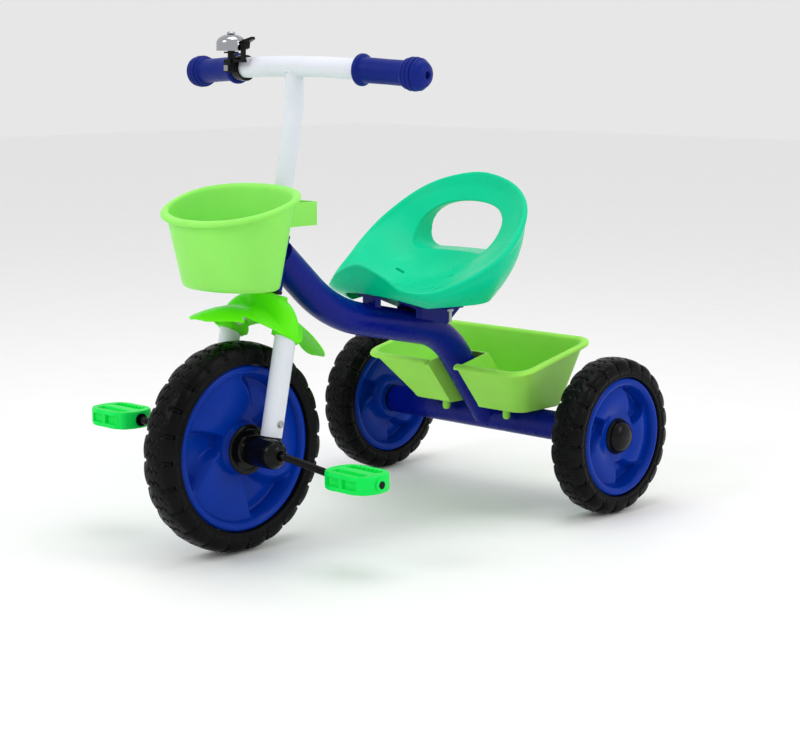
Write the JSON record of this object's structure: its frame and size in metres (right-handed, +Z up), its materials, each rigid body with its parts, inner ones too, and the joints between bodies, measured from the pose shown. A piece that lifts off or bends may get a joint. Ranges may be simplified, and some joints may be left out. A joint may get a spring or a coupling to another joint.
{
  "type": "children's tricycle",
  "caption": "Child's pedal tricycle: front wheel driven by pedals, steered fork with basket and bell, moulded seat, rear tray and twin rear wheels.",
  "frame": {"origin": "on the floor, under the middle of the tricycle's length and width", "axes": "+Z up, the front wheel towards -Y, the rider's left towards +X"},
  "size_m": [0.4576, 0.683, 0.6058],
  "materials": {
    "frame_blue": "gloss enamel",
    "white_enamel": "gloss enamel",
    "rim_blue": "moulded, semi-gloss",
    "grip_blue": "soft moulded grip",
    "tyre_black": "moulded tread",
    "black_plastic": "moulded",
    "zinc_steel": "zinc plated",
    "black_steel": "black enamel",
    "bell_chrome": "polished",
    "basket_green": "moulded, semi-gloss",
    "tray_green": "moulded, semi-gloss",
    "guard_green": "moulded, glossy",
    "pedal_green": "moulded, semi-gloss",
    "seat_green": "moulded, glossy"
  },
  "bodies": {
    "frame": {"head_tube": "frame_blue", "upper_head_cup": "black_plastic", "lower_head_cup": "black_plastic", "main_tube": "frame_blue", "rear_axle_tube": "frame_blue", "rear_axle_rod": "zinc_steel", "left_axle_bush": "black_plastic", "right_axle_bush": "black_plastic", "left_axle_nut": "zinc_steel", "right_axle_nut": "zinc_steel", "seat_front_stay": "frame_blue", "left_seat_gusset": "frame_blue", "right_seat_gusset": "frame_blue", "seat_bracket": "frame_blue", "seat": "seat_green", "left_seat_bolt": "zinc_steel", "right_seat_bolt": "zinc_steel", "left_seat_nut": "zinc_steel", "right_seat_nut": "zinc_steel", "tray": "tray_green", "left_tray_screw": "zinc_steel", "right_tray_screw": "zinc_steel"},
    "steering": {"fork_crown": "white_enamel", "left_fork_leg": "white_enamel", "right_fork_leg": "white_enamel", "left_fork_end": "black_plastic", "right_fork_end": "black_plastic", "left_fork_bolt": "zinc_steel", "right_fork_bolt": "zinc_steel", "mudguard": "guard_green", "stem": "white_enamel", "stem_collar": "bell_chrome", "handlebar": "white_enamel", "left_grip": "grip_blue", "right_grip": "grip_blue", "bell_clamp": "black_plastic", "bell_clamp_screw": "zinc_steel", "bell_bracket": "black_plastic", "bell_dome": "bell_chrome", "bell_screw": "bell_chrome", "basket": "basket_green", "basket_clip": "basket_green"},
    "bell_lever": {"bell_lever": "black_plastic"},
    "front_wheel": {"front_tyre": "tyre_black", "front_rim": "rim_blue", "crank_axle": "black_steel", "left_hub_flange": "black_plastic", "right_hub_flange": "black_plastic", "left_pedal_cap": "zinc_steel", "right_pedal_cap": "zinc_steel", "left_pedal_washer": "black_plastic", "right_pedal_washer": "black_plastic"},
    "left_pedal": {"left_pedal": "pedal_green"},
    "right_pedal": {"right_pedal": "pedal_green"},
    "left_rear_wheel": {"left_rear_tyre": "tyre_black", "left_rear_rim": "rim_blue", "left_hub_cap": "black_plastic"},
    "right_rear_wheel": {"right_rear_tyre": "tyre_black", "right_rear_rim": "rim_blue", "right_hub_cap": "black_plastic"}
  },
  "joints": [
    {"name": "steering_turn", "type": "hinge", "parent": "frame", "child": "steering", "pos_m": [0, -0.19865, 0.1212], "axis": [0, 0.2079, 0.9781], "range_deg": [-50, 50]},
    {"name": "front_wheel_spin", "type": "hinge", "parent": "steering", "child": "front_wheel", "pos_m": [0, -0.2165, 0.125], "axis": [1, 0, 0], "continuous": true},
    {"name": "left_pedal_spin", "type": "hinge", "parent": "front_wheel", "child": "left_pedal", "pos_m": [0.1733, -0.1865, 0.10697], "axis": [1, 0, 0], "continuous": true},
    {"name": "right_pedal_spin", "type": "hinge", "parent": "front_wheel", "child": "right_pedal", "pos_m": [-0.1733, -0.2465, 0.14303], "axis": [1, 0, 0], "continuous": true},
    {"name": "left_rear_wheel_spin", "type": "hinge", "parent": "frame", "child": "left_rear_wheel", "pos_m": [0.202, 0.2415, 0.1], "axis": [1, 0, 0], "continuous": true},
    {"name": "right_rear_wheel_spin", "type": "hinge", "parent": "frame", "child": "right_rear_wheel", "pos_m": [-0.202, 0.2415, 0.1], "axis": [1, 0, 0], "continuous": true},
    {"name": "bell_lever_press", "type": "hinge", "parent": "steering", "child": "bell_lever", "pos_m": [-0.0715, -0.1287, 0.5879], "axis": [0, 1, 0], "range_deg": [0, 20], "stiffness_Nm_per_rad": 0.05}
  ]
}
